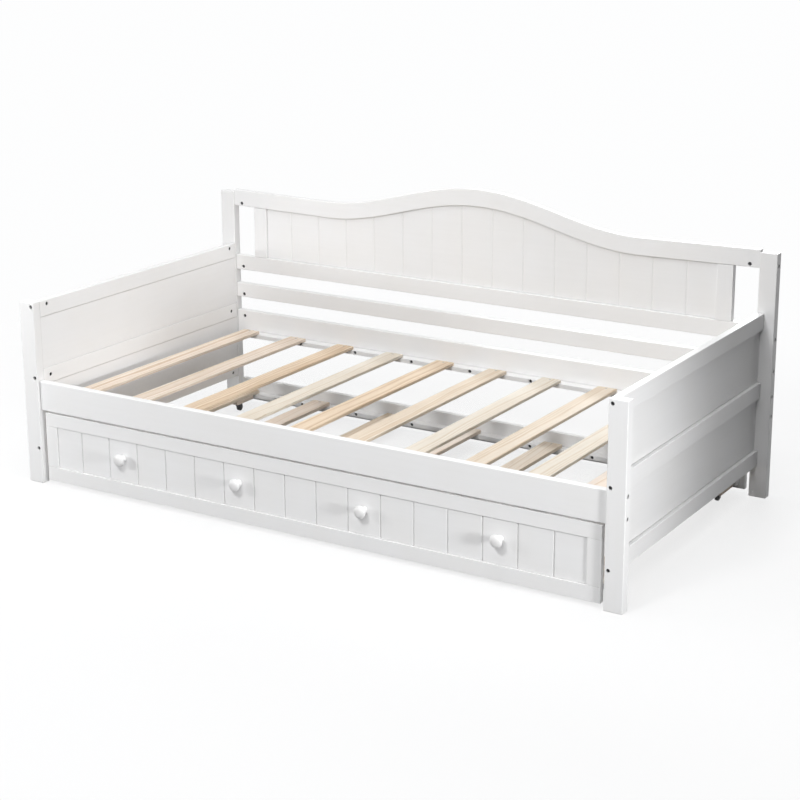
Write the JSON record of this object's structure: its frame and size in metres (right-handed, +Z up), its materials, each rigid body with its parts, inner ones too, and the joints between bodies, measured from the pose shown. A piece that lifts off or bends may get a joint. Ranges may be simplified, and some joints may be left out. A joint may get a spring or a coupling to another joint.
{
  "type": "daybed with trundle",
  "caption": "Slatted wooden daybed with an arched grooved back, framed arms and a trundle bed that rolls out from under it on swivel casters.",
  "frame": {"origin": "on the floor, below the middle of the bounding box at rest, with the trundle pushed in", "axes": "+X along the bed, to the right seen from the open front; -Y to the open front; +Z up"},
  "size_m": [2.03, 1.063, 0.8539],
  "materials": {
    "white_paint": "white satin paint over wood",
    "knob_paint": "white satin paint on turned wood",
    "bare_pine": "planed bare pine",
    "caster_fork": "black moulded plastic",
    "caster_wheel": "black moulded plastic",
    "zinc_steel": "zinc-plated bolts, barrel nuts and screws"
  },
  "bodies": {
    "daybed": {"front_leg_left": "white_paint", "front_leg_right": "white_paint", "back_post_left": "white_paint", "back_post_right": "white_paint", "front_rail": "white_paint", "front_ledger": "white_paint", "back_ledger": "white_paint", "back_rail": "white_paint", "back_mid_rail": "white_paint", "back_panel_rail": "white_paint", "back_arch_rail": "white_paint", "back_stile_left": "white_paint", "back_stile_right": "white_paint", "back_panel": "white_paint", "side_lower_rail_left": "white_paint", "side_middle_rail_left": "white_paint", "side_top_rail_left": "white_paint", "side_lower_panel_left": "white_paint", "side_upper_panel_left": "white_paint", "side_lower_rail_right": "white_paint", "side_middle_rail_right": "white_paint", "side_top_rail_right": "white_paint", "side_lower_panel_right": "white_paint", "side_upper_panel_right": "white_paint", "slat_01": "bare_pine", "slat_02": "bare_pine", "slat_03": "bare_pine", "slat_04": "bare_pine", "slat_05": "bare_pine", "slat_06": "bare_pine", "slat_07": "bare_pine", "slat_08": "bare_pine", "slat_09": "bare_pine", "slat_10": "bare_pine"},
    "trundle": {"trundle_front_frame": "white_paint", "trundle_front_panel": "white_paint", "trundle_back_rail": "white_paint", "trundle_front_ledger": "white_paint", "trundle_back_ledger": "white_paint", "knob_1": "knob_paint", "knob_2": "knob_paint", "knob_3": "knob_paint", "knob_4": "knob_paint", "caster_slat_left": "bare_pine", "caster_slat_right": "bare_pine", "trundle_slat_1": "bare_pine", "trundle_slat_2": "bare_pine", "trundle_slat_3": "bare_pine", "trundle_slat_4": "bare_pine", "trundle_slat_5": "bare_pine"},
    "caster_swivel_front_left": {"caster_fork_front_left": "caster_fork"},
    "caster_roller_front_left": {"caster_wheel_front_left": "caster_wheel"},
    "caster_swivel_back_left": {"caster_fork_back_left": "caster_fork"},
    "caster_roller_back_left": {"caster_wheel_back_left": "caster_wheel"},
    "caster_swivel_front_right": {"caster_fork_front_right": "caster_fork"},
    "caster_roller_front_right": {"caster_wheel_front_right": "caster_wheel"},
    "caster_swivel_back_right": {"caster_fork_back_right": "caster_fork"},
    "caster_roller_back_right": {"caster_wheel_back_right": "caster_wheel"}
  },
  "joints": [
    {"name": "trundle_slide", "type": "slide", "parent": "daybed", "child": "trundle", "axis": [0, -1, 0], "range_m": [0, 1.05]},
    {"name": "swivel_front_left", "type": "hinge", "parent": "trundle", "child": "caster_swivel_front_left", "pos_m": [-0.8955, -0.3865, 0], "axis": [0, 0, 1], "continuous": true},
    {"name": "roll_front_left", "type": "hinge", "parent": "caster_swivel_front_left", "child": "caster_roller_front_left", "pos_m": [-0.8955, -0.3785, 0.0125], "axis": [1, 0, 0], "continuous": true},
    {"name": "swivel_back_left", "type": "hinge", "parent": "trundle", "child": "caster_swivel_back_left", "pos_m": [-0.8955, 0.407, 0], "axis": [0, 0, 1], "continuous": true},
    {"name": "roll_back_left", "type": "hinge", "parent": "caster_swivel_back_left", "child": "caster_roller_back_left", "pos_m": [-0.8955, 0.415, 0.0125], "axis": [1, 0, 0], "continuous": true},
    {"name": "swivel_front_right", "type": "hinge", "parent": "trundle", "child": "caster_swivel_front_right", "pos_m": [0.8955, -0.3865, 0], "axis": [0, 0, 1], "continuous": true},
    {"name": "roll_front_right", "type": "hinge", "parent": "caster_swivel_front_right", "child": "caster_roller_front_right", "pos_m": [0.8955, -0.3785, 0.0125], "axis": [1, 0, 0], "continuous": true},
    {"name": "swivel_back_right", "type": "hinge", "parent": "trundle", "child": "caster_swivel_back_right", "pos_m": [0.8955, 0.407, 0], "axis": [0, 0, 1], "continuous": true},
    {"name": "roll_back_right", "type": "hinge", "parent": "caster_swivel_back_right", "child": "caster_roller_back_right", "pos_m": [0.8955, 0.415, 0.0125], "axis": [1, 0, 0], "continuous": true}
  ]
}
